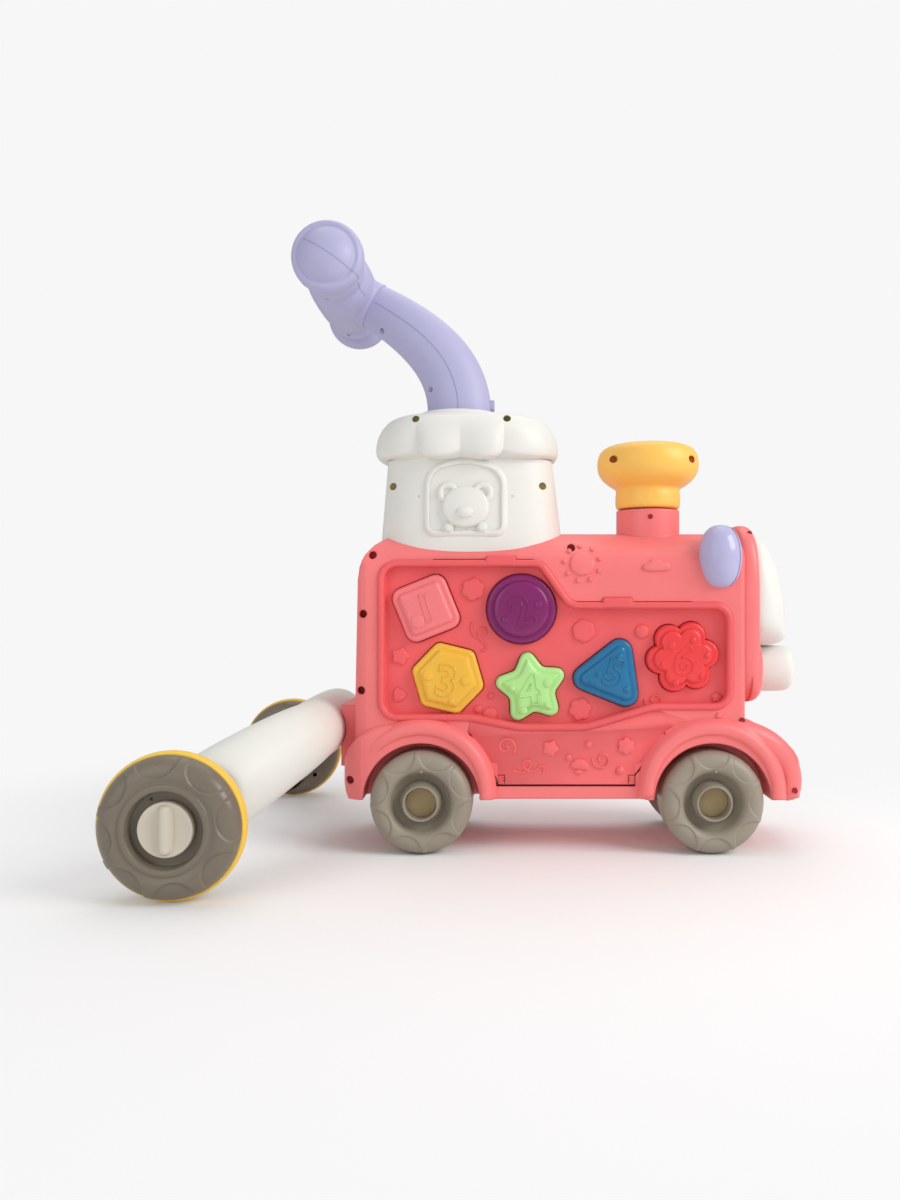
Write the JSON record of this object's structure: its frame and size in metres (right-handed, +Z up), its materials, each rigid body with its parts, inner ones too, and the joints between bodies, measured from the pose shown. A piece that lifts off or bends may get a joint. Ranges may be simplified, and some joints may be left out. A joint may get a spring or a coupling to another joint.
{
  "type": "ride on train",
  "caption": "Toddler's push-along train with a shape sorter in its side, a drop hatch, a lift-off handle on the cab, a twist chimney and a plug-in rear fork with big wheels.",
  "frame": {"origin": "middle of the train's bounding box, on the floor", "axes": "+X forward along the train, +Y to its left, +Z up; the shape sorter faces -Y"},
  "size_m": [0.4738, 0.352, 0.4545],
  "materials": {
    "coral": "satin moulded",
    "white": "satin moulded",
    "lavender": "satin moulded",
    "amber": "satin moulded",
    "taupe": "satin moulded",
    "beige": "satin moulded",
    "band_yellow": "matt",
    "tan": "satin moulded",
    "light_coral": "satin moulded",
    "purple": "satin moulded",
    "mustard": "satin moulded",
    "green": "satin moulded",
    "blue": "satin moulded",
    "red": "satin moulded",
    "steel": "bright"
  },
  "bodies": {
    "train": {"body_shell_right": "coral", "body_shell_left": "coral", "sorter_panel": "coral", "side_panel": "coral", "block_tray": "coral", "front_axle": "steel", "rear_axle": "steel", "axle_caps": "tan", "front_plate": "coral", "smokebox_dome": "white", "nose": "white", "side_lamp_right": "lavender", "side_lamp_left": "lavender", "cab_right": "white", "cab_left": "white", "roof_right": "white", "roof_left": "white", "chimney_post": "coral", "body_screws": "steel", "cab_screws": "steel", "roof_screws": "steel"},
    "hatch": {"hatch_flap": "coral", "hatch_rod": "steel"},
    "chimney": {"chimney_knob_right": "amber", "chimney_knob_left": "amber", "chimney_screws": "steel"},
    "handle": {"handle_outer": "lavender", "handle_inner": "lavender", "handle_screws": "steel", "latch_spring": "steel"},
    "latch": {"handle_latch": "lavender"},
    "fork": {"fork_bar_upper": "white", "fork_bar_lower": "white", "fork_leg_right": "white", "fork_leg_left": "white", "spindle_right": "steel", "spindle_left": "steel"},
    "block_square": {"block_square": "light_coral"},
    "block_circle": {"block_circle": "purple"},
    "block_hexagon": {"block_hexagon": "mustard"},
    "block_star": {"block_star": "green"},
    "block_triangle": {"block_triangle": "blue"},
    "block_flower": {"block_flower": "red"},
    "wheel_front_right": {"wheel_front_right": "taupe"},
    "wheel_front_left": {"wheel_front_left": "taupe"},
    "wheel_rear_right": {"wheel_rear_right": "taupe"},
    "wheel_rear_left": {"wheel_rear_left": "taupe"},
    "big_wheel_right": {"big_wheel_outer_right": "taupe", "big_wheel_inner_right": "taupe", "rubber_band_right": "band_yellow"},
    "speed_knob_right": {"speed_knob_right": "beige"},
    "big_wheel_left": {"big_wheel_outer_left": "taupe", "big_wheel_inner_left": "taupe", "rubber_band_left": "band_yellow"},
    "speed_knob_left": {"speed_knob_left": "beige"}
  },
  "joints": [
    {"name": "hatch_hinge", "type": "hinge", "parent": "train", "child": "hatch", "pos_m": [0.056, -0.045, 0.052], "axis": [1, 0, 0], "range_deg": [0, 95]},
    {"name": "chimney_turn", "type": "hinge", "parent": "train", "child": "chimney", "pos_m": [0.125, 0, 0.28], "axis": [0, 0, 1], "continuous": true},
    {"name": "handle_lift", "type": "slide", "parent": "train", "child": "handle", "axis": [0, 0, 1], "range_m": [0, 0.08]},
    {"name": "latch_press", "type": "slide", "parent": "handle", "child": "latch", "axis": [-1, 0, 0], "range_m": [0, 0.0025], "stiffness_N_per_m": 400, "deforming": ["latch_spring"]},
    {"name": "fork_pull", "type": "slide", "parent": "train", "child": "fork", "axis": [-1, 0, 0], "range_m": [0, 0.05]},
    {"name": "square_slide", "type": "slide", "parent": "train", "child": "block_square", "axis": [0, -1, 0], "range_m": [-0.028, 0.045]},
    {"name": "circle_slide", "type": "slide", "parent": "train", "child": "block_circle", "axis": [0, -1, 0], "range_m": [-0.028, 0.045]},
    {"name": "hexagon_slide", "type": "slide", "parent": "train", "child": "block_hexagon", "axis": [0, -1, 0], "range_m": [-0.028, 0.045]},
    {"name": "star_slide", "type": "slide", "parent": "train", "child": "block_star", "axis": [0, -1, 0], "range_m": [-0.028, 0.045]},
    {"name": "triangle_slide", "type": "slide", "parent": "train", "child": "block_triangle", "axis": [0, -1, 0], "range_m": [-0.028, 0.045]},
    {"name": "flower_slide", "type": "slide", "parent": "train", "child": "block_flower", "axis": [0, -1, 0], "range_m": [-0.028, 0.045]},
    {"name": "wheel_front_right_spin", "type": "hinge", "parent": "train", "child": "wheel_front_right", "pos_m": [0.1647, -0.046, 0.0375], "axis": [0, 1, 0], "continuous": true},
    {"name": "wheel_front_left_spin", "type": "hinge", "parent": "train", "child": "wheel_front_left", "pos_m": [0.1647, 0.046, 0.0375], "axis": [0, 1, 0], "continuous": true},
    {"name": "wheel_rear_right_spin", "type": "hinge", "parent": "train", "child": "wheel_rear_right", "pos_m": [-0.0483, -0.046, 0.0375], "axis": [0, 1, 0], "continuous": true},
    {"name": "wheel_rear_left_spin", "type": "hinge", "parent": "train", "child": "wheel_rear_left", "pos_m": [-0.0483, 0.046, 0.0375], "axis": [0, 1, 0], "continuous": true},
    {"name": "big_wheel_right_spin", "type": "hinge", "parent": "fork", "child": "big_wheel_right", "pos_m": [-0.1909, -0.1615, 0.046], "axis": [0, 1, 0], "continuous": true},
    {"name": "speed_knob_right_turn", "type": "hinge", "parent": "big_wheel_right", "child": "speed_knob_right", "pos_m": [-0.1909, -0.17, 0.046], "axis": [0, -1, 0], "range_deg": [0, 90]},
    {"name": "big_wheel_left_spin", "type": "hinge", "parent": "fork", "child": "big_wheel_left", "pos_m": [-0.1909, 0.1615, 0.046], "axis": [0, 1, 0], "continuous": true},
    {"name": "speed_knob_left_turn", "type": "hinge", "parent": "big_wheel_left", "child": "speed_knob_left", "pos_m": [-0.1909, 0.17, 0.046], "axis": [0, 1, 0], "range_deg": [0, 90]}
  ]
}
